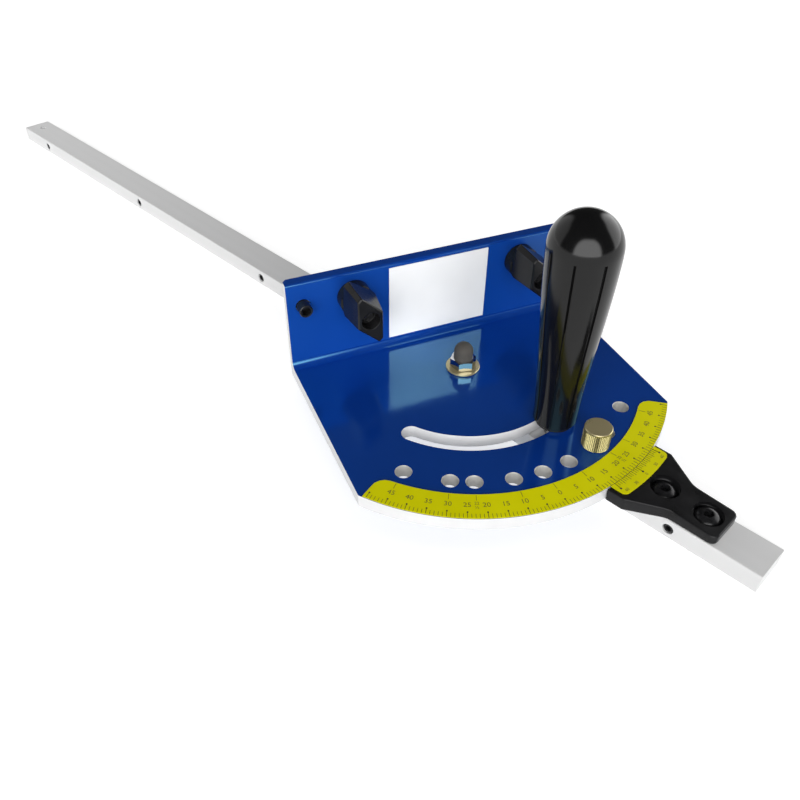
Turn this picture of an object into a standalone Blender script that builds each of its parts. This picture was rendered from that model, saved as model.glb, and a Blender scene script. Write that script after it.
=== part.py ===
# Miter gauge for a table saw: a steel bar that slides in the saw's mitre slot, and an
# aluminium head that swings on it, with a clamping handle, a stop pin and a vernier pointer.
# Metres, +Z up. The origin is on the head's pivot, at the underside of the bar.
# +Y runs along the bar to its long far end, and the head stands at its 22.5 degree stop.

import math

import bmesh
import bpy
from mathutils import Matrix, Vector

# Clearance between pieces that touch or turn on each other, and how far a cutter runs past
GAP = 0.0003
CUT_PAST = 0.0020

# Bar
BAR_LENGTH = 0.6096
BAR_WIDTH = 0.01905
BAR_HEIGHT = 0.009525
BAR_BEHIND_PIVOT = 0.1603
BAR_EDGE = 0.0003
END_HOLE_RADIUS = 0.0020
END_HOLE_INSET = 0.0100
BAR_HOLE_FLOOR = 0.0022

# Adjusting screws that take up the play of the bar in its slot
FIT_SCREW_NEAR_INSET = 0.0393
FIT_SCREW_FAR_INSET = 0.0353
FIT_SCREW_SHARES = (0.0, 0.2533, 0.5047, 0.7561, 1.0)
FIT_SCREW_RADIUS = 0.0022
FIT_SCREW_LENGTH = 0.0120
FIT_SCREW_SOCKET = 0.0025
SET_SCREW_EDGE = 0.15
SOCKET_DEPTH = 1.2

# Head, one aluminium angle
STOP_ANGLES = (-45.0, -30.0, -22.5, -10.0, 0.0, 10.0, 22.5, 30.0, 45.0)
HEAD_STOP = 22.5
HEAD_WIDTH = 0.1532
HEAD_HEIGHT = 0.0526
PLATE_THICK = 0.00635
FLANGE_THICK = 0.0058
FLANGE_FROM_PIVOT = 0.0309
ARC_RADIUS = 0.0970
FOOT_FILLET = 0.0020
TOP_ROUND = 0.0010
HEEL_ROUND = 0.0012
END_CHAMFER = 0.0022
STOP_INSET = 0.0202
STOP_HOLE_RADIUS = 0.0035
SLOT_INSET = 0.0432
SLOT_WIDTH = 0.0090
SLOT_REACH = 51.0

# Pivot stud, its washer and its cap nut
PIVOT_RADIUS = 0.003175
PIVOT_WASHER_RADIUS = 0.0082
PIVOT_WASHER_THICK = 0.0010
NUT_ACROSS_FLATS = 0.0111
NUT_TURN = -6.6
NUT_HEX_HEIGHT = 0.0047
NUT_DOME_RADIUS = 0.0046
NUT_DOME_CENTRE = 0.0082
NUT_BORE_DEPTH = 0.0090

# Handle, its stud and its washer
HANDLE_OFF_SLOT = 0.0010
HANDLE_LENGTH = 0.1013
HANDLE_FOOT_RADIUS = 0.0097
HANDLE_DOME_RADIUS = 0.0148
HANDLE_FOOT_ROUND = 0.0010
HANDLE_STUD_RADIUS = 0.003175
HANDLE_BORE_DEPTH = 0.0260
HANDLE_WASHER_RADIUS = 0.0084
HANDLE_WASHER_THICK = 0.0016
FLUTE_COUNT = 8
FLUTE_TURN = -156.5
FLUTE_WIDTH = 0.0017
FLUTE_DEPTH = 0.0007
FLUTE_FOOT = 0.0022
HANDLE_SWELL = 0.75

# Stop pin, turned from brass with a knurled head
PIN_RADIUS = 0.003175
PIN_HEAD_RADIUS = 0.0061
PIN_HEAD_HEIGHT = 0.0102
PIN_HEAD_CHAMFER = 0.0006
KNURL_TEETH = 36
KNURL_DEPTH = 0.00022

# Scale on the head
LABEL_THICK = 0.0003
SCALE_WIDTH = 0.0127
SCALE_REACH = 51.0
SCALE_CORNER = 0.0062

# Vernier pointer on the bar, with its own scale; its lengths start at the head's arc
POINTER_HALF_WIDTH = 0.0186
POINTER_SHOULDER_LENGTH = 0.0066
POINTER_NECK_LENGTH = 0.0225
POINTER_LENGTH = 0.0430
POINTER_TAIL_HEIGHT = 0.0044
POINTER_NECK_RADIUS = 0.0090
POINTER_SHOULDER_CORNER = 0.0018
POINTER_TAIL_CORNER = 0.0030
POINTER_EDGE = 0.0006
VERNIER_WIDTH = 0.0068
VERNIER_MARGIN = 0.0018
VERNIER_CORNER = 0.0022
POINTER_SCREW_INSETS = (0.0146, 0.0343)
POINTER_SCREW_RADIUS = 0.003175
POINTER_SCREW_HEAD_RADIUS = 0.0054
POINTER_SCREW_HEAD_HEIGHT = 0.0033
POINTER_SCREW_SOCKET = 0.0040
BUTTON_RIM = 0.2
BUTTON_SOCKET_FLOOR = 0.3
POINTER_SEAT = 0.0016
POINTER_RECESS_MARGIN = 0.0010

# Fence bolts with their wing knobs, and the screws that square the fence
WING_NEARER_LABEL = 0.00325
FENCE_SCREW_HEIGHT = 0.0403
FENCE_BOLT_RADIUS = 0.003175
FENCE_BOLT_ACROSS_FLATS = 0.0111
FENCE_BOLT_HEAD = 0.0042
FENCE_BOLT_END = 0.0015
FENCE_LIP = 0.0030
WING_LENGTH = 0.0236
WING_HUB_RADIUS = 0.0081
WING_HUB_LENGTH = 0.0045
WING_SHOULDER = 0.0092
WING_SHOULDER_HALF_WIDTH = 0.0083
WING_SHOULDER_DRAW = (0.93, 0.78)
WING_SHOULDER_LEAN = 1.1
WING_END_HALF_WIDTH = 0.0060
WING_LOW_SHARE = 0.6
WING_HIGH_SHARE = 1.85
WING_TIP_SHARE = 0.3
WING_RECESS_RADIUS = 0.0044
WING_RECESS_DEPTH = 0.0060
WING_EDGE = 0.0007
SQUARING_INSET = 0.0077
SQUARING_RADIUS = 0.003175
SQUARING_STANDS_OUT = 0.0055
SQUARING_SOCKET = 0.0032

# Bare label on the flange
NAME_LABEL_WIDTH = 0.0524
NAME_LABEL_HEIGHT = 0.0398
NAME_LABEL_BELOW_TOP = 0.0020
NAME_LABEL_CORNER = 0.0003

# How finely round forms are divided
ROUND_STEPS = 24
SMALL_ROUND_STEPS = 18
HANDLE_RINGS = 14
DOME_RINGS = 8
ARC_STEP = 2.5

# Places that follow from the sizes above
BAR_NEAR = -BAR_BEHIND_PIVOT
BAR_FAR = BAR_LENGTH - BAR_BEHIND_PIVOT
FIT_SCREW_SPAN = BAR_LENGTH - FIT_SCREW_NEAR_INSET - FIT_SCREW_FAR_INSET
FIT_SCREW_PLACES = tuple(BAR_NEAR + FIT_SCREW_NEAR_INSET + share * FIT_SCREW_SPAN
                         for share in FIT_SCREW_SHARES)
STOP_RADIUS = ARC_RADIUS - STOP_INSET
SLOT_RADIUS = ARC_RADIUS - SLOT_INSET
HANDLE_FROM_PIVOT = SLOT_RADIUS + HANDLE_OFF_SLOT
POINTER_SHOULDER = ARC_RADIUS + POINTER_SHOULDER_LENGTH
POINTER_NECK = ARC_RADIUS + POINTER_NECK_LENGTH
POINTER_TAIL = ARC_RADIUS + POINTER_LENGTH
POINTER_SCREW_PLACES = tuple(-ARC_RADIUS - inset for inset in POINTER_SCREW_INSETS)
SQUARING_FROM_MIDDLE = HEAD_WIDTH / 2.0 - SQUARING_INSET
WING_FROM_MIDDLE = (SQUARING_FROM_MIDDLE + NAME_LABEL_WIDTH / 2.0) / 2.0 - WING_NEARER_LABEL
PLATE_BOTTOM = BAR_HEIGHT + GAP
PLATE_TOP = PLATE_BOTTOM + PLATE_THICK
FLANGE_TOP = PLATE_BOTTOM + HEAD_HEIGHT
FLANGE_FAR = FLANGE_FROM_PIVOT + FLANGE_THICK
FENCE_SCREW_LEVEL = PLATE_BOTTOM + FENCE_SCREW_HEIGHT


def clear_scene():
    for thing in list(bpy.data.objects):
        bpy.data.objects.remove(thing, do_unlink=True)


def finish(name, colour, roughness, metallic):
    """A Principled material in one finish."""
    material = bpy.data.materials.new(name)
    material.use_nodes = True
    shader = material.node_tree.nodes["Principled BSDF"]
    shader.inputs["Base Color"].default_value = (*colour, 1.0)
    shader.inputs["Roughness"].default_value = roughness
    shader.inputs["Metallic"].default_value = metallic
    return material


def new_object(name, mesh_source, material=None, smooth=False):
    """An object from a bmesh, with its faces turned outwards."""
    bmesh.ops.recalc_face_normals(mesh_source, faces=mesh_source.faces)
    mesh = bpy.data.meshes.new(name)
    mesh_source.to_mesh(mesh)
    mesh_source.free()
    if smooth:
        mesh.shade_smooth()
        mesh.set_sharp_from_angle(angle=math.radians(35.0))
    thing = bpy.data.objects.new(name, mesh)
    bpy.context.collection.objects.link(thing)
    if material:
        mesh.materials.append(material)
    return thing


def place(thing, location=(0.0, 0.0, 0.0), rotation=(0.0, 0.0, 0.0), parent=None):
    thing.location = location
    thing.rotation_euler = [math.radians(angle) for angle in rotation]
    thing.parent = parent
    return thing


def new_empty(name, location, rotation=(0.0, 0.0, 0.0), parent=None):
    empty = bpy.data.objects.new(name, None)
    bpy.context.collection.objects.link(empty)
    return place(empty, location, rotation, parent)


def hide_tool(tool):
    """Marks a cutter, which is no piece of the object."""
    tool.hide_render = True
    tool.display_type = "WIRE"


def combine(thing, tool, operation="DIFFERENCE"):
    modifier = thing.modifiers.new(tool.name, "BOOLEAN")
    modifier.object = tool
    modifier.operation = operation
    modifier.solver = "EXACT"
    hide_tool(tool)
    return thing


def add_prism(mesh, outline, low, high):
    """Extrudes a closed outline of (x, y) points between two heights."""
    face = mesh.faces.new([mesh.verts.new((x, y, low)) for x, y in outline])
    raised = bmesh.ops.extrude_face_region(mesh, geom=[face])
    verts = [item for item in raised["geom"] if isinstance(item, bmesh.types.BMVert)]
    bmesh.ops.translate(mesh, verts=verts, vec=(0.0, 0.0, high - low))
    return face


def prism(name, outline, low, high, material=None, smooth=False):
    mesh = bmesh.new()
    add_prism(mesh, outline, low, high)
    return new_object(name, mesh, material, smooth)


def turned(name, profile, steps, material=None):
    """Spins a closed or axis-to-axis profile of (radius, height) points about Z."""
    mesh = bmesh.new()
    verts = [mesh.verts.new((radius, 0.0, height)) for radius, height in profile]
    edges = [mesh.edges.new(pair) for pair in zip(verts, verts[1:])]
    if min(radius for radius, height in profile) > 0.0:
        edges.append(mesh.edges.new((verts[-1], verts[0])))
    bmesh.ops.spin(mesh, geom=verts + edges, angle=2.0 * math.pi, steps=steps,
                   axis=(0.0, 0.0, 1.0), cent=(0.0, 0.0, 0.0))
    bmesh.ops.remove_doubles(mesh, verts=mesh.verts, dist=0.000001)
    return new_object(name, mesh, material, smooth=True)


def circle(centre_x, centre_y, radius, steps=ROUND_STEPS, turn=0.0):
    points = []
    for step in range(steps):
        angle = math.radians(turn) + 2.0 * math.pi * step / steps
        points.append((centre_x + radius * math.cos(angle), centre_y + radius * math.sin(angle)))
    return points


def hexagon(across_flats, turn=0.0):
    """A hexagon with a flat facing the turn angle."""
    return circle(0.0, 0.0, across_flats / math.sqrt(3.0), 6, turn + 30.0)


def rounded(corners, steps=4):
    """An outline of (x, y, radius) corners, with each corner turned on its radius."""
    points = []
    for index, (x, y, radius) in enumerate(corners):
        here = Vector((x, y))
        before = Vector(corners[index - 1][:2]) - here
        after = Vector(corners[(index + 1) % len(corners)][:2]) - here
        if radius == 0.0:
            points.append((x, y))
            continue
        half = before.angle(after) / 2.0
        to_centre = (before.normalized() + after.normalized()).normalized()
        centre = here + to_centre * radius / math.sin(half)
        first = here + before.normalized() * radius / math.tan(half) - centre
        last = here + after.normalized() * radius / math.tan(half) - centre
        sweep = first.angle_signed(last)
        for step in range(steps + 1):
            spoke = Matrix.Rotation(-sweep * step / steps, 2) @ first
            points.append(tuple(centre + spoke))
    return points


def polar(radius, angle):
    """A point at an angle from the -Y axis, positive towards +X."""
    turn = math.radians(angle)
    return (radius * math.sin(turn), -radius * math.cos(turn))


def arc(radius, start, stop, step=ARC_STEP):
    """Points along an arc about the pivot, from one angle to another."""
    count = max(1, round(abs(stop - start) / step))
    return [polar(radius, start + (stop - start) * index / count) for index in range(count + 1)]


def slot_outline(radius, width, reach):
    """A curved slot about the pivot, with round ends."""
    outline = arc(radius + width / 2.0, -reach, reach)
    for end, first in ((reach, 0.0), (-reach, 180.0)):
        centre_x, centre_y = polar(radius, end)
        for step in range(1, 8):
            turn = math.radians(end - 90.0 + first + 22.5 * step)
            outline.append((centre_x + width / 2.0 * math.cos(turn),
                            centre_y + width / 2.0 * math.sin(turn)))
        if end == reach:
            outline += arc(radius - width / 2.0, reach, -reach)
    return outline


def socket_set_screw(name, radius, length, across_flats, material):
    """A headless screw along Z, its socket in the end at the origin and its tip below."""
    edge = SET_SCREW_EDGE * radius
    profile = [(0.0, -length), (radius - 2.0 * edge, -length), (radius, -length + 2.0 * edge),
               (radius, -edge), (radius - edge, 0.0), (0.0, 0.0)]
    screw = turned(name, profile, SMALL_ROUND_STEPS, material)
    socket = prism(name + "_socket", hexagon(across_flats), -SOCKET_DEPTH * across_flats, GAP)
    socket.parent = screw
    return combine(screw, socket)


def build_bar(steel):
    """The flat bar, drilled for the pivot, the handle, the stop pin and its screws."""
    half = BAR_WIDTH / 2.0
    section = rounded([(-half, 0.0, BAR_EDGE), (half, 0.0, BAR_EDGE),
                       (half, BAR_HEIGHT, BAR_EDGE), (-half, BAR_HEIGHT, BAR_EDGE)], 1)
    mesh = bmesh.new()
    add_prism(mesh, section, BAR_NEAR, BAR_FAR)
    bmesh.ops.transform(mesh, verts=mesh.verts,
                        matrix=Matrix(((1, 0, 0, 0), (0, 0, 1, 0), (0, 1, 0, 0), (0, 0, 0, 1))))
    bar = new_object("miter_bar", mesh, steel)

    over = BAR_HEIGHT + GAP
    drills = bmesh.new()
    add_prism(drills, circle(0.0, 0.0, PIVOT_RADIUS + GAP), BAR_HOLE_FLOOR, over)
    add_prism(drills, circle(0.0, -HANDLE_FROM_PIVOT, HANDLE_STUD_RADIUS + GAP), BAR_HOLE_FLOOR, over)
    add_prism(drills, circle(0.0, -STOP_RADIUS, STOP_HOLE_RADIUS), BAR_HOLE_FLOOR, over)
    for place_y in POINTER_SCREW_PLACES:
        hole = circle(0.0, place_y, POINTER_SCREW_RADIUS + GAP, SMALL_ROUND_STEPS)
        add_prism(drills, hole, BAR_HOLE_FLOOR, over)
    end_hole = circle(0.0, BAR_FAR - END_HOLE_INSET, END_HOLE_RADIUS, SMALL_ROUND_STEPS)
    add_prism(drills, end_hole, -GAP, over)
    combine(bar, new_object("bar_top_drills", drills))

    side_drills = bmesh.new()
    for place_y in FIT_SCREW_PLACES:
        hole = circle(0.0, place_y, FIT_SCREW_RADIUS + GAP, SMALL_ROUND_STEPS)
        add_prism(side_drills, hole, -GAP, FIT_SCREW_LENGTH + 2.0 * GAP)
    drill = new_object("bar_side_drills", side_drills)
    drill.matrix_world = Matrix(((0, 0, 1, -half), (0, 1, 0, 0), (-1, 0, 0, BAR_HEIGHT / 2.0),
                                 (0, 0, 0, 1)))
    combine(bar, drill)


def build_fit_screws(black_steel):
    for number, place_y in enumerate(FIT_SCREW_PLACES, start=1):
        screw = socket_set_screw("bar_fit_screw_%d" % number, FIT_SCREW_RADIUS, FIT_SCREW_LENGTH,
                                 FIT_SCREW_SOCKET, black_steel)
        place(screw, (-BAR_WIDTH / 2.0 + GAP, place_y, BAR_HEIGHT / 2.0), (0.0, -90.0, 0.0))


def build_pivot(steel, brass, chrome):
    """The stud, its washer on the head, and the cap nut."""
    washer_bottom = PLATE_TOP + GAP
    washer_top = washer_bottom + PIVOT_WASHER_THICK
    nut_bottom = washer_top + GAP
    bore = PIVOT_RADIUS + GAP
    stud_top = nut_bottom + NUT_BORE_DEPTH - GAP
    edge = PIVOT_RADIUS / 6.0
    turned("pivot_stud", [(0.0, BAR_HOLE_FLOOR + GAP), (PIVOT_RADIUS - edge, BAR_HOLE_FLOOR + GAP),
                          (PIVOT_RADIUS, BAR_HOLE_FLOOR + GAP + edge), (PIVOT_RADIUS, stud_top - edge),
                          (PIVOT_RADIUS - edge, stud_top), (0.0, stud_top)], ROUND_STEPS, steel)
    turned("pivot_washer", [(bore, washer_bottom), (PIVOT_WASHER_RADIUS, washer_bottom),
                            (PIVOT_WASHER_RADIUS, washer_top - GAP),
                            (PIVOT_WASHER_RADIUS - GAP, washer_top), (bore, washer_top)],
           2 * ROUND_STEPS, brass)

    nut = prism("pivot_cap_nut", hexagon(NUT_ACROSS_FLATS, NUT_TURN), 0.0, NUT_HEX_HEIGHT, chrome,
                smooth=True)
    corner = NUT_ACROSS_FLATS / math.sqrt(3.0)
    flat = NUT_ACROSS_FLATS / 2.0
    drop = 0.5 * (corner - flat)
    turner = turned("nut_chamfer", [(0.0, 0.0), (flat, 0.0), (corner, drop),
                                    (corner, NUT_HEX_HEIGHT - drop), (flat, NUT_HEX_HEIGHT),
                                    (0.0, NUT_HEX_HEIGHT)], 2 * ROUND_STEPS)
    combine(nut, turner, "INTERSECT")
    dome_profile = [(0.0, NUT_HEX_HEIGHT / 2.0), (NUT_DOME_RADIUS, NUT_HEX_HEIGHT / 2.0)]
    for step in range(7):
        turn = math.radians(15.0 * step)
        dome_profile.append((NUT_DOME_RADIUS * math.cos(turn) if step < 6 else 0.0,
                             NUT_DOME_CENTRE + NUT_DOME_RADIUS * math.sin(turn)))
    combine(nut, turned("nut_dome", dome_profile, ROUND_STEPS), "UNION")
    combine(nut, turned("nut_bore", [(0.0, -GAP), (bore, -GAP), (bore, NUT_BORE_DEPTH),
                                     (0.0, NUT_BORE_DEPTH)], ROUND_STEPS))
    place(nut, (0.0, 0.0, nut_bottom))
    for tool in ("nut_chamfer", "nut_dome", "nut_bore"):
        bpy.data.objects[tool].parent = nut


def build_head(head, aluminium):
    """The angle: an L section run across the head, trimmed to its arc and drilled."""
    reach = ARC_RADIUS + CUT_PAST
    section = rounded([(-reach, PLATE_BOTTOM, 0.0), (FLANGE_FAR, PLATE_BOTTOM, HEEL_ROUND),
                       (FLANGE_FAR, FLANGE_TOP, TOP_ROUND / 2.0),
                       (FLANGE_FROM_PIVOT, FLANGE_TOP, TOP_ROUND),
                       (FLANGE_FROM_PIVOT, PLATE_TOP, FOOT_FILLET), (-reach, PLATE_TOP, 0.0)])
    mesh = bmesh.new()
    add_prism(mesh, section, -HEAD_WIDTH, HEAD_WIDTH)
    bmesh.ops.transform(mesh, verts=mesh.verts,
                        matrix=Matrix(((0, 0, 1, 0), (1, 0, 0, 0), (0, 1, 0, 0), (0, 0, 0, 1))))
    plate = new_object("head_plate", mesh, aluminium, smooth=True)
    place(plate, parent=head)

    half = HEAD_WIDTH / 2.0
    corner_angle = math.degrees(math.asin(half / ARC_RADIUS))
    outline = arc(ARC_RADIUS, -corner_angle, corner_angle)
    outline += [(half, FLANGE_FAR - END_CHAMFER), (half - END_CHAMFER, FLANGE_FAR),
                (half - END_CHAMFER, FLANGE_FAR + CUT_PAST),
                (END_CHAMFER - half, FLANGE_FAR + CUT_PAST),
                (END_CHAMFER - half, FLANGE_FAR), (-half, FLANGE_FAR - END_CHAMFER)]
    trim = prism("head_outline", outline, 0.0, FLANGE_TOP + CUT_PAST)
    place(trim, parent=head)
    combine(plate, trim, "INTERSECT")

    low = PLATE_BOTTOM - CUT_PAST
    high = PLATE_TOP + CUT_PAST
    holes = bmesh.new()
    add_prism(holes, slot_outline(SLOT_RADIUS, SLOT_WIDTH, SLOT_REACH), low, high)
    add_prism(holes, circle(0.0, 0.0, PIVOT_RADIUS + GAP), low, high)
    for angle in STOP_ANGLES:
        add_prism(holes, circle(*polar(STOP_RADIUS, angle), STOP_HOLE_RADIUS), low, high)
    drill = new_object("head_holes", holes)
    place(drill, parent=head)
    combine(plate, drill)

    flange_holes = bmesh.new()
    for side in (-1.0, 1.0):
        bolt = circle(side * WING_FROM_MIDDLE, 0.0, FENCE_BOLT_RADIUS + GAP)
        add_prism(flange_holes, bolt, -FLANGE_THICK - CUT_PAST, CUT_PAST)
        screw = circle(side * SQUARING_FROM_MIDDLE, 0.0, SQUARING_RADIUS + GAP)
        add_prism(flange_holes, screw, -FLANGE_THICK - CUT_PAST, CUT_PAST)
    drill = new_object("flange_holes", flange_holes)
    place(drill, (0.0, FLANGE_FROM_PIVOT, FENCE_SCREW_LEVEL), (90.0, 0.0, 0.0), head)
    combine(plate, drill)


def build_scale(head, yellow):
    """The yellow scale, a band along the arc whose inner corners are well rounded."""
    outer = ARC_RADIUS - GAP
    inner = ARC_RADIUS - SCALE_WIDTH
    corner_turn = math.degrees(SCALE_CORNER / inner)
    outline = arc(outer, -SCALE_REACH, SCALE_REACH)
    inside = arc(inner, SCALE_REACH - corner_turn, corner_turn - SCALE_REACH)
    centre_radius = inner + SCALE_CORNER
    for end, side in ((SCALE_REACH, 1.0), (-SCALE_REACH, -1.0)):
        centre_x, centre_y = polar(centre_radius, end - side * corner_turn)
        quarter = []
        for step in range(5):
            turn = math.radians(end - side * corner_turn + side * 22.5 * step)
            across = SCALE_CORNER * math.sin(math.radians(22.5 * step))
            inward = SCALE_CORNER * math.cos(math.radians(22.5 * step))
            bearing = math.radians(end - side * corner_turn)
            quarter.append((centre_x + side * across * math.cos(bearing) - inward * math.sin(bearing),
                            centre_y + side * across * math.sin(bearing) + inward * math.cos(bearing)))
        if side > 0.0:
            outline += quarter[:0:-1] + inside
        else:
            outline += quarter[1:]
    scale = prism("scale_label", outline, PLATE_TOP + GAP, PLATE_TOP + GAP + LABEL_THICK, yellow)
    place(scale, parent=head)


def build_name_label(head, white):
    """The label on the flange, left bare."""
    half = NAME_LABEL_WIDTH / 2.0
    top = FLANGE_TOP - NAME_LABEL_BELOW_TOP
    centre = top - NAME_LABEL_HEIGHT / 2.0
    tall = NAME_LABEL_HEIGHT / 2.0
    outline = rounded([(-half, -tall, NAME_LABEL_CORNER), (half, -tall, NAME_LABEL_CORNER),
                       (half, tall, NAME_LABEL_CORNER), (-half, tall, NAME_LABEL_CORNER)])
    label = prism("name_label", outline, GAP, GAP + LABEL_THICK, white)
    place(label, (0.0, FLANGE_FROM_PIVOT, centre), (90.0, 0.0, 0.0), head)


def build_pointer(black_plastic, yellow):
    """The moulded vernier pointer, its arc close to the head's, and its yellow scale."""
    arc_radius = ARC_RADIUS + GAP
    edge_angle = math.degrees(math.asin(POINTER_HALF_WIDTH / arc_radius))
    half = BAR_WIDTH / 2.0
    left = rounded([(-POINTER_HALF_WIDTH, 0.0, 0.0),
                    (-POINTER_HALF_WIDTH, -POINTER_SHOULDER, POINTER_SHOULDER_CORNER),
                    (-half, -POINTER_NECK, POINTER_NECK_RADIUS),
                    (-half, -POINTER_TAIL, POINTER_TAIL_CORNER), (0.0, -POINTER_TAIL, 0.0)])[1:-1]
    right = [(-x, y) for x, y in reversed(left)]
    bottom = BAR_HEIGHT + GAP
    outline = left + right + arc(arc_radius, edge_angle, -edge_angle)
    pointer = prism("vernier_pointer", outline, bottom, PLATE_TOP, black_plastic, smooth=True)

    slope_start = -arc_radius - VERNIER_WIDTH - 2.0 * GAP
    slope = (PLATE_THICK - POINTER_TAIL_HEIGHT) / (slope_start + POINTER_TAIL)
    wedge = bmesh.new()
    add_prism(wedge, [(slope_start + CUT_PAST, PLATE_TOP + slope * CUT_PAST),
                      (slope_start + CUT_PAST, PLATE_TOP + CUT_PAST),
                      (-POINTER_TAIL - CUT_PAST, PLATE_TOP + CUT_PAST),
                      (-POINTER_TAIL - CUT_PAST,
                       PLATE_TOP - slope * (slope_start + POINTER_TAIL + CUT_PAST))],
              -2.0 * POINTER_HALF_WIDTH, 2.0 * POINTER_HALF_WIDTH)
    bmesh.ops.transform(wedge, verts=wedge.verts,
                        matrix=Matrix(((0, 0, 1, 0), (1, 0, 0, 0), (0, 1, 0, 0), (0, 0, 0, 1))))
    combine(pointer, new_object("pointer_slope", wedge))
    edges = pointer.modifiers.new("moulded_edges", "BEVEL")
    edges.width = POINTER_EDGE
    edges.segments = 2
    edges.limit_method = "ANGLE"
    edges.angle_limit = math.radians(50.0)

    seat = bottom + POINTER_SEAT
    recess = POINTER_SCREW_HEAD_RADIUS + POINTER_RECESS_MARGIN
    holes = bmesh.new()
    bores = bmesh.new()
    for place_y in POINTER_SCREW_PLACES:
        add_prism(holes, circle(0.0, place_y, recess, 2 * ROUND_STEPS), seat, PLATE_TOP + CUT_PAST)
        bore = circle(0.0, place_y, POINTER_SCREW_RADIUS + GAP, SMALL_ROUND_STEPS)
        add_prism(bores, bore, bottom - CUT_PAST, PLATE_TOP + CUT_PAST)
    combine(pointer, new_object("pointer_recesses", holes))
    combine(pointer, new_object("pointer_bores", bores))

    inner = arc_radius + GAP
    outer = inner + VERNIER_WIDTH
    label_half = POINTER_HALF_WIDTH - VERNIER_MARGIN
    inner_angle = math.degrees(math.asin(label_half / inner))
    side_y = -math.sqrt(outer * outer - label_half * label_half)
    corner = rounded([(-label_half, -inner, 0.0), (-label_half, side_y, VERNIER_CORNER),
                      (polar(outer, 0.0)[0], -outer, 0.0)])[1:-1]
    corner_angle = math.degrees(math.atan2(-corner[-1][0], -corner[-1][1]))
    label = corner[:-1] + arc(outer, -corner_angle, corner_angle)
    label += [(-x, y) for x, y in reversed(corner[:-1])] + arc(inner, inner_angle, -inner_angle)
    prism("vernier_label", label, PLATE_TOP + GAP, PLATE_TOP + GAP + LABEL_THICK, yellow)


def build_pointer_screws(black_steel):
    """Two button-head screws with hexagon sockets."""
    seat = BAR_HEIGHT + GAP + POINTER_SEAT + GAP
    reach = seat - BAR_HOLE_FLOOR - GAP
    head = POINTER_SCREW_HEAD_RADIUS
    tall = POINTER_SCREW_HEAD_HEIGHT
    for name, place_y in zip(("pointer_screw_front", "pointer_screw_rear"), POINTER_SCREW_PLACES):
        profile = [(0.0, -reach), (POINTER_SCREW_RADIUS, -reach), (POINTER_SCREW_RADIUS, 0.0),
                   (head, 0.0), (head, BUTTON_RIM * tall)]
        for step in range(1, 5):
            turn = math.radians(15.0 * step)
            rise = (1.0 - BUTTON_RIM) * math.sin(turn) / math.sin(math.radians(60.0))
            profile.append((head * math.cos(turn), (BUTTON_RIM + rise) * tall))
        profile.append((0.0, tall))
        screw = turned(name, profile, ROUND_STEPS, black_steel)
        socket = prism(name + "_socket", hexagon(POINTER_SCREW_SOCKET), BUTTON_SOCKET_FLOOR * tall,
                       tall + CUT_PAST)
        socket.parent = screw
        combine(screw, socket)
        place(screw, (0.0, place_y, seat))


def handle_radius(share):
    """The grip's radius, from its foot (0) to the middle of its dome (1)."""
    swell = HANDLE_SWELL * (3.0 * share ** 2 - 2.0 * share ** 3) + (1.0 - HANDLE_SWELL) * share
    return HANDLE_FOOT_RADIUS + (HANDLE_DOME_RADIUS - HANDLE_FOOT_RADIUS) * swell


def fluted_ring(mesh, radius, height, depth):
    """One ring of the grip, notched at each flute when the depth isn't zero."""
    verts = []
    pitch = 360.0 / FLUTE_COUNT
    half = math.degrees(FLUTE_WIDTH / 2.0 / radius)
    offsets = [(-half, 0.0), (-half / 2.0, 1.0), (half / 2.0, 1.0), (half, 0.0)]
    for step in range(1, 4):
        offsets.append((half + (pitch - 2.0 * half) * step / 4.0, 0.0))
    for flute in range(FLUTE_COUNT):
        for offset, cut in offsets:
            turn = math.radians(FLUTE_TURN + pitch * flute + offset)
            reach = radius - depth * cut
            verts.append(mesh.verts.new((reach * math.cos(turn), reach * math.sin(turn), height)))
    return verts


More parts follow.
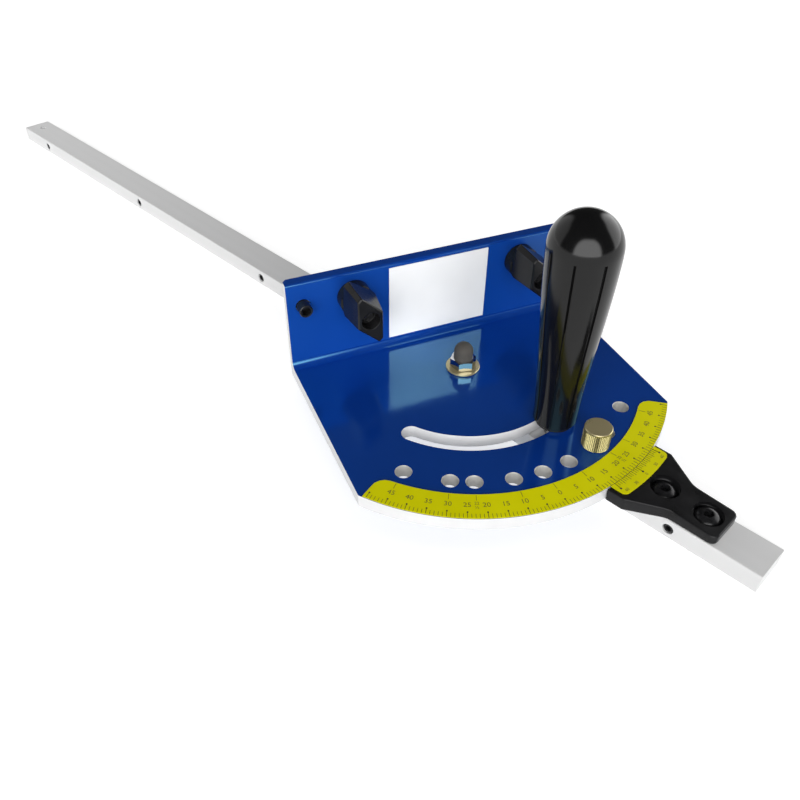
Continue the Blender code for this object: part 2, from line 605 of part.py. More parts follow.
def build_handle(black_plastic, steel):
    """The fluted grip, lofted ring by ring to its dome, on a stud that clamps the head."""
    washer_bottom = PLATE_TOP + GAP
    foot = washer_bottom + HANDLE_WASHER_THICK + GAP
    axis = new_empty("handle_axis", (0.0, -HANDLE_FROM_PIVOT, 0.0))

    dome_centre = HANDLE_LENGTH - HANDLE_DOME_RADIUS
    mesh = bmesh.new()
    rings = [fluted_ring(mesh, HANDLE_FOOT_RADIUS - HANDLE_FOOT_ROUND, 0.0, 0.0),
             fluted_ring(mesh, HANDLE_FOOT_RADIUS, HANDLE_FOOT_ROUND, 0.0),
             fluted_ring(mesh, HANDLE_FOOT_RADIUS, FLUTE_FOOT, 0.0)]
    for step in range(1, HANDLE_RINGS + 1):
        share = step / (HANDLE_RINGS + 1)
        rings.append(fluted_ring(mesh, handle_radius(share), share * dome_centre, FLUTE_DEPTH))
    for step in range(DOME_RINGS):
        turn = math.radians(88.0 * step / DOME_RINGS)
        rings.append(fluted_ring(mesh, HANDLE_DOME_RADIUS * math.cos(turn),
                                 dome_centre + HANDLE_DOME_RADIUS * math.sin(turn), 0.0))
    for lower, upper in zip(rings, rings[1:]):
        for index in range(len(lower)):
            following = (index + 1) % len(lower)
            mesh.faces.new((lower[index], lower[following], upper[following], upper[index]))
    mesh.faces.new(rings[0])
    top = mesh.verts.new((0.0, 0.0, HANDLE_LENGTH))
    for index, vert in enumerate(rings[-1]):
        mesh.faces.new((vert, rings[-1][(index + 1) % len(rings[-1])], top))
    grip = new_object("handle_grip", mesh, black_plastic, smooth=True)
    place(grip, (0.0, 0.0, foot), parent=axis)
    bore = prism("handle_bore", circle(0.0, 0.0, HANDLE_STUD_RADIUS + GAP), -GAP, HANDLE_BORE_DEPTH)
    bore.parent = grip
    combine(grip, bore)

    stud_low = BAR_HOLE_FLOOR + GAP
    stud_high = foot + HANDLE_BORE_DEPTH - GAP
    edge = HANDLE_STUD_RADIUS / 6.0
    stud = turned("handle_stud", [(0.0, stud_low), (HANDLE_STUD_RADIUS - edge, stud_low),
                                  (HANDLE_STUD_RADIUS, stud_low + edge),
                                  (HANDLE_STUD_RADIUS, stud_high - edge),
                                  (HANDLE_STUD_RADIUS - edge, stud_high), (0.0, stud_high)],
                  ROUND_STEPS, steel)
    place(stud, parent=axis)
    hole = HANDLE_STUD_RADIUS + GAP
    washer_top = washer_bottom + HANDLE_WASHER_THICK
    washer = turned("handle_washer", [(hole, washer_bottom), (HANDLE_WASHER_RADIUS, washer_bottom),
                                      (HANDLE_WASHER_RADIUS, washer_top), (hole, washer_top)],
                    2 * ROUND_STEPS, steel)
    place(washer, parent=axis)


def build_stop_pin(head, brass):
    """The turned pin: a plain shank through the head and a straight-knurled head."""
    seat = PLATE_TOP + GAP
    edge = PIN_RADIUS / 5.0
    pin_x, pin_y = polar(STOP_RADIUS, HEAD_STOP)
    tip = PLATE_BOTTOM - seat
    shank = [(0.0, tip), (PIN_RADIUS - edge, tip), (PIN_RADIUS, tip + edge),
             (PIN_RADIUS, CUT_PAST), (0.0, CUT_PAST)]
    knurl = []
    for tooth in range(KNURL_TEETH):
        for part, cut in ((0.0, 0.0), (0.3, 0.0), (0.65, 1.0)):
            turn = 2.0 * math.pi * (tooth + part) / KNURL_TEETH
            reach = PIN_HEAD_RADIUS - KNURL_DEPTH * cut
            knurl.append((reach * math.cos(turn), reach * math.sin(turn)))
    pin = prism("stop_pin", knurl, 0.0, PIN_HEAD_HEIGHT, brass)
    core = PIN_HEAD_RADIUS - KNURL_DEPTH - PIN_HEAD_CHAMFER
    turner = turned("pin_chamfer", [(0.0, 0.0), (core, 0.0), (PIN_HEAD_RADIUS + GAP, PIN_HEAD_CHAMFER + GAP),
                                    (PIN_HEAD_RADIUS + GAP, PIN_HEAD_HEIGHT - PIN_HEAD_CHAMFER - GAP),
                                    (core, PIN_HEAD_HEIGHT), (0.0, PIN_HEAD_HEIGHT)], 2 * ROUND_STEPS)
    combine(pin, turner, "INTERSECT")
    post = turned("pin_shank", shank, ROUND_STEPS)
    combine(pin, post, "UNION")
    turner.parent = pin
    post.parent = pin
    place(pin, (pin_x, pin_y, seat), parent=head)


def wing_section(half_width, lean):
    """Twelve points round a wing knob: upright sides, and ends cut on the slant."""
    low = WING_LOW_SHARE * half_width * lean
    high = WING_HIGH_SHARE * half_width
    tip = WING_TIP_SHARE * half_width
    corners = [(-half_width, -low), (-half_width, high), (-half_width + tip, high + tip),
               (half_width, low), (half_width, -high), (half_width - tip, -high - tip)]
    points = []
    for index, here in enumerate(corners):
        after = corners[(index + 1) % len(corners)]
        points.append(here)
        points.append(((here[0] + after[0]) / 2.0, (here[1] + after[1]) / 2.0))
    return points


def build_wing_knobs(head, black_plastic, black_steel):
    """Two wing knobs on bolts, whose heads leave room for the lips of a fence's slot."""
    wide = wing_section(WING_SHOULDER_HALF_WIDTH, WING_SHOULDER_LEAN)
    narrow = wing_section(WING_END_HALF_WIDTH, 1.0)
    bearings = [math.atan2(y, x) for x, y in narrow]
    hub = [(WING_HUB_RADIUS * math.cos(turn), WING_HUB_RADIUS * math.sin(turn)) for turn in bearings]
    shoulder = [(x * WING_SHOULDER_DRAW[0], y * WING_SHOULDER_DRAW[1]) for x, y in wide]
    end = [(x * (1.0 - WING_EDGE / math.hypot(x, y)), y * (1.0 - WING_EDGE / math.hypot(x, y)))
           for x, y in narrow]
    levels = ((hub, GAP), (hub, WING_HUB_LENGTH), (shoulder, WING_SHOULDER),
              (narrow, WING_LENGTH - WING_EDGE), (end, WING_LENGTH))
    bolt_end = WING_LENGTH - WING_RECESS_DEPTH + FENCE_BOLT_END
    bore = FENCE_BOLT_RADIUS + GAP
    for side, name in ((-1.0, "left"), (1.0, "right")):
        axis = new_empty("fence_bolt_axis_" + name,
                         (side * WING_FROM_MIDDLE, FLANGE_FROM_PIVOT, FENCE_SCREW_LEVEL),
                         (90.0, 0.0, 0.0), head)
        mesh = bmesh.new()
        rings = [[mesh.verts.new((x, y, height)) for x, y in ring] for ring, height in levels]
        for lower, upper in zip(rings, rings[1:]):
            loops = []
            for ring in (lower, upper):
                loops += [mesh.edges.get((a, b)) or mesh.edges.new((a, b))
                          for a, b in zip(ring, ring[1:] + ring[:1])]
            bmesh.ops.bridge_loops(mesh, edges=loops)
        mesh.faces.new(rings[0])
        mesh.faces.new(rings[-1])
        knob = new_object("wing_knob_" + name, mesh, black_plastic)
        place(knob, parent=axis)
        drill = turned("wing_bore_" + name,
                       [(0.0, -GAP), (bore, -GAP), (bore, WING_LENGTH - WING_RECESS_DEPTH),
                        (WING_RECESS_RADIUS, WING_LENGTH - WING_RECESS_DEPTH),
                        (WING_RECESS_RADIUS, WING_LENGTH + GAP), (0.0, WING_LENGTH + GAP)], ROUND_STEPS)
        drill.parent = knob
        combine(knob, drill)

        back = -FLANGE_THICK - FENCE_LIP
        middle = back - FENCE_BOLT_HEAD / 2.0
        edge = FENCE_BOLT_RADIUS / 6.0
        bolt = prism("fence_bolt_" + name, hexagon(FENCE_BOLT_ACROSS_FLATS, 30.0),
                     back - FENCE_BOLT_HEAD, back, black_steel)
        shank = turned("fence_shank_" + name,
                       [(0.0, middle), (FENCE_BOLT_RADIUS, middle),
                        (FENCE_BOLT_RADIUS, bolt_end - edge), (FENCE_BOLT_RADIUS - edge, bolt_end),
                        (0.0, bolt_end)], ROUND_STEPS)
        shank.parent = bolt
        combine(bolt, shank, "UNION")
        place(bolt, parent=axis)


def build_squaring_screws(head, black_steel):
    """Two set screws through the flange, whose tips bear on a fence to square it."""
    length = SQUARING_STANDS_OUT + FLANGE_THICK - GAP
    for side, name in ((-1.0, "left"), (1.0, "right")):
        screw = socket_set_screw("squaring_screw_" + name, SQUARING_RADIUS, length, SQUARING_SOCKET,
                                 black_steel)
        place(screw, (side * SQUARING_FROM_MIDDLE, FLANGE_FROM_PIVOT - SQUARING_STANDS_OUT,
                      FENCE_SCREW_LEVEL), (90.0, 0.0, 0.0), head)


def build_gauge():
    clear_scene()
    steel = finish("bright_steel", (0.62, 0.62, 0.63), 0.35, 1.0)
    black_steel = finish("black_steel", (0.02, 0.02, 0.022), 0.4, 0.6)
    aluminium = finish("blue_painted_aluminium", (0.012, 0.07, 0.30), 0.3, 0.2)
    brass = finish("brass", (0.60, 0.50, 0.24), 0.3, 1.0)
    chrome = finish("chrome", (0.70, 0.70, 0.72), 0.1, 1.0)
    black_plastic = finish("black_plastic", (0.012, 0.012, 0.013), 0.25, 0.0)
    yellow = finish("yellow_label", (0.62, 0.58, 0.01), 0.4, 0.0)
    white = finish("white_label", (0.85, 0.85, 0.85), 0.4, 0.0)

    head = new_empty("head_pivot", (0.0, 0.0, 0.0), (0.0, 0.0, -HEAD_STOP))
    build_bar(steel)
    build_fit_screws(black_steel)
    build_pivot(steel, brass, chrome)
    build_head(head, aluminium)
    build_scale(head, yellow)
    build_name_label(head, white)
    build_pointer(black_plastic, yellow)
    build_pointer_screws(black_steel)
    build_handle(black_plastic, steel)
    build_stop_pin(head, brass)
    build_wing_knobs(head, black_plastic, black_steel)
    build_squaring_screws(head, black_steel)


build_gauge()
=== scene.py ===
# Miter gauge: the looks of each piece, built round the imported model, in metres with +Z up.

import math

import bmesh
import bpy
from mathutils import Euler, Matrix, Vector


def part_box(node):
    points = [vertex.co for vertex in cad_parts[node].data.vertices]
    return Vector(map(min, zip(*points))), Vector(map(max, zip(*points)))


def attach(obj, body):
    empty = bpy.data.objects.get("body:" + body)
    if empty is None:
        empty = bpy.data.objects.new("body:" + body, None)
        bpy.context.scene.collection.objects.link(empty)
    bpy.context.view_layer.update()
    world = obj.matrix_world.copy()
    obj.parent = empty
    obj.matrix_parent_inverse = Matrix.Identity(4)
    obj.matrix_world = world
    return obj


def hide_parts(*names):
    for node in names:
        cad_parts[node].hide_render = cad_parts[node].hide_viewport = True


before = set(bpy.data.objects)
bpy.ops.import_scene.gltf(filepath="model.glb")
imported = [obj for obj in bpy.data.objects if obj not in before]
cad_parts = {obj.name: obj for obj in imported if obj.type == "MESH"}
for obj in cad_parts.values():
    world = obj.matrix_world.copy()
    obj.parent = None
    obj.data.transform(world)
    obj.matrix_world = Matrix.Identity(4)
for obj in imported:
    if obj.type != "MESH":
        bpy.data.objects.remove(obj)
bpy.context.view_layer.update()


# Studio. A pale floor under a dim room with three soft boxes: a strong one behind the camera
# and a weaker one at each side, so dark gaps show between them in gloss. The backdrop is white.
def soft_box(azimuth, half_width, top, strength):
    """The light that a soft box with rounded corners adds to the room, as a socket."""
    def step(operation, first, second=None):
        node = nodes.new("ShaderNodeMath")
        node.operation = operation
        for socket, value in enumerate((first, second)):
            if isinstance(value, (int, float)):
                node.inputs[socket].default_value = value
            elif value is not None:
                links.new(value, node.inputs[socket])
        return node.outputs[0]

    towards = (math.cos(math.radians(azimuth)), math.sin(math.radians(azimuth)))
    ahead = step("ADD", step("MULTIPLY", split.outputs["X"], towards[0]),
                 step("MULTIPLY", split.outputs["Y"], towards[1]))
    aside = step("ADD", step("MULTIPLY", split.outputs["X"], -towards[1]),
                 step("MULTIPLY", split.outputs["Y"], towards[0]))
    across = step("DIVIDE", step("ARCTAN2", aside, ahead), math.radians(half_width))
    upright = step("DIVIDE", step("ARCSINE", split.outputs["Z"]), math.radians(top))
    reach = step("ADD", step("POWER", step("ABSOLUTE", across), 3.0),
                 step("POWER", step("ABSOLUTE", upright), 3.0))
    edge = nodes.new("ShaderNodeMapRange")
    edge.interpolation_type = "SMOOTHSTEP"
    edge.inputs["From Min"].default_value = 1.25
    edge.inputs["From Max"].default_value = 0.60
    edge.inputs["To Max"].default_value = strength
    links.new(reach, edge.inputs["Value"])
    return edge.outputs["Result"]


world = bpy.data.worlds.new("studio")
bpy.context.scene.world = world
world.use_nodes = True
nodes = world.node_tree.nodes
links = world.node_tree.links
nodes.clear()
direction = nodes.new("ShaderNodeTexCoord")
split = nodes.new("ShaderNodeSeparateXYZ")
links.new(direction.outputs["Generated"], split.inputs[0])
room = nodes.new("ShaderNodeMapRange")
room.inputs["From Min"].default_value = 0.0
room.inputs["From Max"].default_value = 0.06
room.inputs["To Min"].default_value = 1.0
room.inputs["To Max"].default_value = 0.06
links.new(split.outputs["Z"], room.inputs["Value"])
light = room.outputs["Result"]
for azimuth, half_width, top, strength in ((-140.0, 41.0, 50.0, 5.6),
                                           (97.0, 38.0, 46.0, 1.0),
                                           (-20.0, 36.0, 46.0, 2.9)):
    more = nodes.new("ShaderNodeMath")
    more.operation = "ADD"
    links.new(light, more.inputs[0])
    links.new(soft_box(azimuth, half_width, top, strength), more.inputs[1])
    light = more.outputs[0]
studio = nodes.new("ShaderNodeBackground")
backdrop = nodes.new("ShaderNodeBackground")
backdrop.inputs["Color"].default_value = (1.0, 1.0, 1.0, 1.0)
path = nodes.new("ShaderNodeLightPath")
camera_mix = nodes.new("ShaderNodeMixShader")
output = nodes.new("ShaderNodeOutputWorld")
links.new(light, studio.inputs["Strength"])
links.new(path.outputs["Is Camera Ray"], camera_mix.inputs[0])
links.new(studio.outputs[0], camera_mix.inputs[1])
links.new(backdrop.outputs[0], camera_mix.inputs[2])
links.new(camera_mix.outputs[0], output.inputs["Surface"])

bpy.ops.object.select_all(action="DESELECT")
bpy.ops.mesh.primitive_plane_add(size=14.0, location=(0.0, 0.0, -0.0002))
floor = bpy.context.object
floor.name = "floor"
paper = bpy.data.materials.new("white_paper")
paper.use_nodes = True
nodes = paper.node_tree.nodes
links = paper.node_tree.links
nodes.clear()
matt = nodes.new("ShaderNodeBsdfDiffuse")
matt.inputs["Color"].default_value = (0.50, 0.50, 0.50, 1.0)
glow = nodes.new("ShaderNodeEmission")
glow.inputs["Color"].default_value = (1.0, 1.0, 1.0, 1.0)
path = nodes.new("ShaderNodeLightPath")
seen = nodes.new("ShaderNodeMath")
seen.operation = "MAXIMUM"
seen_glass = nodes.new("ShaderNodeMath")
seen_glass.operation = "MAXIMUM"
share = nodes.new("ShaderNodeMath")
share.operation = "MULTIPLY"
share.inputs[1].default_value = 0.70
both = nodes.new("ShaderNodeAddShader")
output = nodes.new("ShaderNodeOutputMaterial")
links.new(path.outputs["Is Camera Ray"], seen.inputs[0])
links.new(path.outputs["Is Glossy Ray"], seen.inputs[1])
links.new(seen.outputs[0], seen_glass.inputs[0])
links.new(path.outputs["Is Transmission Ray"], seen_glass.inputs[1])
links.new(seen_glass.outputs[0], share.inputs[0])
links.new(share.outputs[0], glow.inputs["Strength"])
links.new(matt.outputs[0], both.inputs[0])
links.new(glow.outputs[0], both.inputs[1])
links.new(both.outputs[0], output.inputs["Surface"])
floor.data.materials.append(paper)

camera_data = bpy.data.cameras.new("camera")
camera_data.lens = 35.5926
camera_data.sensor_width = 36.0
camera = bpy.data.objects.new("camera", camera_data)
camera.location = (-0.23774, -0.19056, 0.25571)
camera.rotation_euler = (math.radians(49.25), math.radians(-0.36), math.radians(-45.25))
bpy.context.scene.collection.objects.link(camera)
bpy.context.scene.camera = camera
bpy.context.scene.view_settings.view_transform = "Standard"


# Mitre bar: cold-drawn flat steel, ground on its faces, so its grain runs lengthwise. The
# packed bar keeps its shape, with its drilled and tapped holes.
def grain_group():
    """Noise at two sizes, as a height for a Bump node, a patch mask and a roughness."""
    group = bpy.data.node_groups.new("grain", "ShaderNodeTree")
    face = group.interface
    face.new_socket("Vector", in_out="INPUT", socket_type="NodeSocketVector")
    for name in ("Fine", "Broad", "Smooth", "Rough"):
        face.new_socket(name, in_out="INPUT", socket_type="NodeSocketFloat")
    for name in ("Height", "Patch", "Roughness"):
        face.new_socket(name, in_out="OUTPUT", socket_type="NodeSocketFloat")
    start = group.nodes.new("NodeGroupInput")
    end = group.nodes.new("NodeGroupOutput")
    fine = group.nodes.new("ShaderNodeTexNoise")
    fine.inputs["Detail"].default_value = 3.0
    broad = group.nodes.new("ShaderNodeTexNoise")
    broad.inputs["Detail"].default_value = 2.0
    patch = group.nodes.new("ShaderNodeMapRange")
    patch.inputs["From Min"].default_value = 0.3
    patch.inputs["From Max"].default_value = 0.7
    blend = group.nodes.new("ShaderNodeMath")
    blend.operation = "MULTIPLY_ADD"
    blend.inputs[1].default_value = 0.5
    half = group.nodes.new("ShaderNodeMath")
    half.operation = "MULTIPLY"
    half.inputs[1].default_value = 0.5
    rough = group.nodes.new("ShaderNodeMapRange")
    join = group.links.new
    join(start.outputs["Vector"], fine.inputs["Vector"])
    join(start.outputs["Fine"], fine.inputs["Scale"])
    join(start.outputs["Vector"], broad.inputs["Vector"])
    join(start.outputs["Broad"], broad.inputs["Scale"])
    join(broad.outputs["Fac"], patch.inputs["Value"])
    join(fine.outputs["Fac"], half.inputs[0])
    join(patch.outputs["Result"], blend.inputs[0])
    join(half.outputs[0], blend.inputs[2])
    join(blend.outputs[0], rough.inputs["Value"])
    join(start.outputs["Smooth"], rough.inputs["To Min"])
    join(start.outputs["Rough"], rough.inputs["To Max"])
    join(fine.outputs["Fac"], end.inputs["Height"])
    join(patch.outputs["Result"], end.inputs["Patch"])
    join(rough.outputs["Result"], end.inputs["Roughness"])
    return group


def grained(name, colours, metallic, roughness, sizes, stretch, depth):
    """A finish whose colour, roughness and height vary with the grain of the surface."""
    material = bpy.data.materials.new(name)
    material.use_nodes = True
    nodes = material.node_tree.nodes
    links = material.node_tree.links
    shader = nodes["Principled BSDF"]
    shader.inputs["Metallic"].default_value = metallic
    place = nodes.new("ShaderNodeTexCoord")
    turn = nodes.new("ShaderNodeMapping")
    turn.inputs["Scale"].default_value = stretch
    pattern = nodes.new("ShaderNodeGroup")
    pattern.node_tree = grain
    pattern.inputs["Fine"].default_value = sizes[0]
    pattern.inputs["Broad"].default_value = sizes[1]
    pattern.inputs["Smooth"].default_value = roughness[0]
    pattern.inputs["Rough"].default_value = roughness[1]
    tone = nodes.new("ShaderNodeMix")
    tone.data_type = "RGBA"
    tone.inputs[6].default_value = (*colours[0], 1.0)
    tone.inputs[7].default_value = (*colours[1], 1.0)
    bump = nodes.new("ShaderNodeBump")
    bump.inputs["Strength"].default_value = 1.0
    bump.inputs["Distance"].default_value = depth
    links.new(place.outputs["Object"], turn.inputs["Vector"])
    links.new(turn.outputs["Vector"], pattern.inputs["Vector"])
    links.new(pattern.outputs["Patch"], tone.inputs[0])
    links.new(tone.outputs[2], shader.inputs["Base Color"])
    links.new(pattern.outputs["Roughness"], shader.inputs["Roughness"])
    links.new(pattern.outputs["Height"], bump.inputs["Height"])
    links.new(bump.outputs["Normal"], shader.inputs["Normal"])
    return material


def dress(node, *finishes):
    """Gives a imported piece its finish."""
    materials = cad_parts[node].data.materials
    materials.clear()
    for material in finishes:
        materials.append(material)


grain = grain_group()
ground_steel = grained("ground_steel", ((0.70, 0.70, 0.70), (0.75, 0.75, 0.75)), 0.20,
                       (0.36, 0.46), (9000.0, 90.0), (1.0, 0.012, 1.0), 0.0000015)
dress("miter_bar", ground_steel)


# Adjusting screws: five headless socket screws of black steel in the bar's side. Each is
# turned from rod, chamfered, broached for a hexagon key and screwed in until it is flush.
def deselect():
    """Leaves nothing selected."""
    bpy.ops.object.select_all(action="DESELECT")


def work_on(piece):
    """Makes one piece the only one selected, and the active one."""
    deselect()
    piece.select_set(True)
    bpy.context.view_layer.objects.active = piece


def pick_faces(test):
    """Selects the faces of the edited mesh whose middle and normal pass a test."""
    bpy.ops.mesh.select_mode(type="FACE")
    bpy.ops.mesh.select_all(action="DESELECT")
    mesh = bmesh.from_edit_mesh(bpy.context.object.data)
    for face in mesh.faces:
        face.select_set(test(face.calc_center_median(), face.normal))
    bmesh.update_edit_mesh(bpy.context.object.data)


def pick_edges(test):
    """Selects the edges of the edited mesh whose two ends pass a test."""
    bpy.ops.mesh.select_mode(type="EDGE")
    bpy.ops.mesh.select_all(action="DESELECT")
    mesh = bmesh.from_edit_mesh(bpy.context.object.data)
    for edge in mesh.edges:
        edge.select_set(test(edge.verts[0].co, edge.verts[1].co))
    bmesh.update_edit_mesh(bpy.context.object.data)


def step_out(rise, radius, before):
    """Raises the selected end face of a turned piece and brings it to a new radius."""
    bpy.ops.mesh.extrude_region_move(TRANSFORM_OT_translate={"value": (0.0, 0.0, rise)})
    bpy.ops.transform.resize(value=(radius / before, radius / before, 1.0),
                             center_override=bpy.context.object.location)


def turned(name, profile, steps, place=(0.0, 0.0, 0.0)):
    """A round piece on an upright axis, raised ring by ring through (radius, height) points."""
    deselect()
    radius, height = profile[0]
    bpy.ops.mesh.primitive_circle_add(vertices=steps, radius=radius, fill_type="NGON",
                                      location=(place[0], place[1], place[2] + height))
    piece = bpy.context.object
    piece.name = name
    bpy.ops.object.mode_set(mode="EDIT")
    for next_radius, next_height in profile[1:]:
        next_radius = max(next_radius, 0.000001)
        step_out(next_height - height, next_radius, radius)
        radius, height = next_radius, next_height
    bpy.ops.mesh.select_all(action="SELECT")
    bpy.ops.mesh.remove_doubles(threshold=0.000002)
    bpy.ops.mesh.normals_make_consistent(inside=False)
    bpy.ops.object.mode_set(mode="OBJECT")
    bpy.ops.object.transform_apply(location=True)
    return piece


def cut(piece, tool, operation="DIFFERENCE"):
    """Cuts a piece with a tool, and takes the tool away."""
    work_on(piece)
    modifier = piece.modifiers.new(operation.lower(), "BOOLEAN")
    modifier.object = tool
    modifier.operation = operation
    modifier.solver = "EXACT"
    bpy.ops.object.modifier_apply(modifier=modifier.name)
    bpy.data.objects.remove(tool)


def hexagon_tool(across_flats, low, high, place, turn=0.0):
    """A hexagonal bar on an upright axis, with two corners along Y before it turns."""
    deselect()
    bpy.ops.mesh.primitive_cylinder_add(
        vertices=6, radius=across_flats / math.sqrt(3.0), depth=high - low,
        location=(place[0], place[1], place[2] + (low + high) / 2.0), rotation=(0.0, 0.0, turn))
    return bpy.context.object


def settle(piece, material, body, slot, *stands_for, smooth=35.0):
    """Shades a finished piece, brings its place into its mesh, and ties it to its body."""
    work_on(piece)
    bpy.ops.object.transform_apply(location=True, rotation=True, scale=True)
    bpy.ops.object.shade_smooth_by_angle(angle=math.radians(smooth))
    if material:
        piece.data.materials.clear()
        piece.data.materials.append(material)
    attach(piece, body)
    if stands_for:
        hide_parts(*stands_for)
    return piece


def tune(material, socket, value):
    """Sets one value on the shader of a finish."""
    material.node_tree.nodes["Principled BSDF"].inputs[socket].default_value = value


def socket_screw(name, place, rotation, radius, length, across_flats):
    """A headless screw whose socket faces up at the origin before it is turned into place."""
    edge = 0.0003
    socket_rim = (across_flats * 0.60, -0.0001)
    screw = turned(name, [(radius - edge, -length), (radius, edge - length), (radius, -edge),
                          (radius - edge, 0.0), socket_rim], 48)
    cut(screw, hexagon_tool(across_flats, -1.2 * across_flats, 0.001, (0.0, 0.0, 0.0)))
    screw.location = place
    screw.rotation_euler = rotation
    return screw


black_oxide = grained("black_oxide", ((0.008, 0.008, 0.009), (0.016, 0.016, 0.017)), 0.10,
                      (0.20, 0.30), (5000.0, 400.0), (1.0, 1.0, 1.0), 0.000003)
tune(black_oxide, "IOR", 1.38)
for number in range(1, 6):
    node = "bar_fit_screw_%d" % number
    low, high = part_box(node)
    screw = socket_screw("adjusting_screw_%d" % number,
                         (low.x, (low.y + high.y) / 2.0, (low.z + high.z) / 2.0),
                         (0.0, math.radians(-90.0), 0.0),
                         radius=0.0022, length=0.0120, across_flats=0.0025)
    settle(screw, black_oxide, "fit_%d" % number, "black_steel", node)


# Pivot: a steel stud fixed in the bar, a brass washer on the head, and a cap nut, which is a
# chromed hexagon with its corners turned off and a dome. The dome is given a dull, dark
# brown-grey colour, a painted reflection of the dim room above in the chromed cap.
STUD_HOLE = 0.003475
WASHER_EDGE = 0.0002
NUT_FLATS = 0.0111
NUT_HEX_HEIGHT = 0.0047
NUT_DOME_RADIUS = 0.0046
NUT_DOME_CENTRE = 0.0082

bright_steel = grained("bright_steel", ((0.55, 0.55, 0.56), (0.63, 0.63, 0.64)), 0.9,
                       (0.25, 0.38), (4000.0, 300.0), (1.0, 1.0, 1.0), 0.000002)
dress("pivot_stud", bright_steel)

brass = grained("turned_brass", ((0.54, 0.465, 0.255), (0.58, 0.50, 0.285)), 0.7, (0.24, 0.34),
                (5000.0, 60.0), (1.0, 1.0, 1.0), 0.000001)
washer_low, washer_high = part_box("pivot_washer")
washer_radius = (washer_high.x - washer_low.x) / 2.0
washer = turned("brass_washer", [(washer_radius - WASHER_EDGE, washer_low.z),
                                 (washer_radius, washer_low.z + WASHER_EDGE),
                                 (washer_radius, washer_high.z - WASHER_EDGE),
                                 (washer_radius - WASHER_EDGE, washer_high.z)], 96)
cut(washer, turned("washer_bore", [(STUD_HOLE, washer_low.z - 0.001),
                                   (STUD_HOLE, washer_high.z + 0.001)], 64))
settle(washer, brass, "bar", "brass", "pivot_washer")

chrome = grained("chrome", ((0.56, 0.56, 0.57), (0.62, 0.62, 0.63)), 1.0, (0.06, 0.11),
                 (3000.0, 150.0), (1.0, 1.0, 1.0), 0.000001)
nut_low, nut_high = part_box("pivot_cap_nut")
nut_floor = (0.0, 0.0, nut_low.z)
nut = hexagon_tool(NUT_FLATS, 0.0, NUT_HEX_HEIGHT, nut_floor, math.radians(-6.6))
nut.name = "cap_nut"
turned_off = turned("nut_corners", [(NUT_FLATS / 2.0, 0.0), (0.00645, 0.0004), (0.00645, 0.0042),
                                    (0.00530, NUT_HEX_HEIGHT)], 96, nut_floor)
cut(nut, turned_off, "INTERSECT")
dome_profile = [(NUT_DOME_RADIUS, 0.0030), (NUT_DOME_RADIUS, NUT_DOME_CENTRE)]
for step in range(1, 13):
    turn = math.radians(7.5 * step)
    dome_profile.append((NUT_DOME_RADIUS * math.cos(turn),
                         NUT_DOME_CENTRE + NUT_DOME_RADIUS * math.sin(turn)))
cut(nut, turned("nut_dome", dome_profile, 64, nut_floor), "UNION")
cut(nut, turned("nut_bore", [(STUD_HOLE, -0.001), (STUD_HOLE, 0.0090)], 48, nut_floor))
settle(nut, chrome, "bar", "chrome", "pivot_cap_nut")
# The dome's dark brown-grey is a painted reflection of the dim room above the chromed cap.
dome_painted_reflection = grained("dome_painted_reflection", ((0.064, 0.059, 0.053), (0.074, 0.069, 0.062)), 0.0,
                     (0.55, 0.65), (3000.0, 150.0), (1.0, 1.0, 1.0), 0.000001)
tune(dome_painted_reflection, "IOR", 1.25)
nut.data.materials.append(dome_painted_reflection)
for face in nut.data.polygons:
    above_hexagon = face.center.z > nut_low.z + NUT_HEX_HEIGHT
    on_dome = math.hypot(face.center.x, face.center.y) < NUT_DOME_RADIUS + 0.0001
    face.material_index = 1 if above_hexagon and on_dome else 0


# Head: one aluminium angle, coated blue before its outline, slot and holes were machined, so
# the cut walls are bare metal; the stop holes' walls are a darker, beige copy of that metal, as
# painted shade inside the holes. Its foot has a fillet and its top edges are rounded.
HEAD_TURN = math.radians(-22.5)
ARC_RADIUS = 0.0970
HALF_WIDTH = 0.0766
PLATE_BOTTOM = 0.009825
PLATE_TOP = 0.016175
FLANGE_TOP = 0.062425
FLANGE_NEAR = 0.0309
FLANGE_FAR = 0.0367
STOPS = (-45.0, -30.0, -22.5, -10.0, 0.0, 10.0, 22.5, 30.0, 45.0)
STOP_RADIUS = 0.0768
SLOT_RADIUS = 0.0538
SLOT_WIDTH = 0.0090
SLOT_REACH = 51.0
BOLT_LEVEL = 0.050125
BOLT_OFFSET = 0.0443
SQUARING_OFFSET = 0.0689

deselect()
bpy.ops.mesh.primitive_cylinder_add(vertices=360, radius=ARC_RADIUS, depth=0.00635,
                                    location=(0.0, 0.0, 0.0130))
head = bpy.context.object
head.name = "blue_head"
bpy.ops.object.transform_apply(location=True)
bpy.ops.object.mode_set(mode="EDIT")
for place, outwards, keep_both in (((HALF_WIDTH, 0.0, 0.0), (1.0, 0.0, 0.0), False),
                                   ((-HALF_WIDTH, 0.0, 0.0), (-1.0, 0.0, 0.0), False),
                                   ((0.0, FLANGE_FAR, 0.0), (0.0, 1.0, 0.0), False),
                                   ((0.0, FLANGE_NEAR, 0.0), (0.0, 1.0, 0.0), True)):
    bpy.ops.mesh.select_all(action="SELECT")
    bpy.ops.mesh.bisect(plane_co=place, plane_no=outwards, use_fill=not keep_both,
                        clear_outer=not keep_both)
pick_faces(lambda middle, normal: normal.z > 0.9 and middle.y > FLANGE_NEAR)
bpy.ops.mesh.extrude_region_move(TRANSFORM_OT_translate={"value": (0.0, 0.0, 0.04625)})
pick_edges(lambda a, b: abs(a.z - b.z) > 0.002 and min(a.y, b.y) > FLANGE_FAR - 0.0002)
bpy.ops.mesh.bevel(offset=0.0022, segments=1, affect="EDGES")
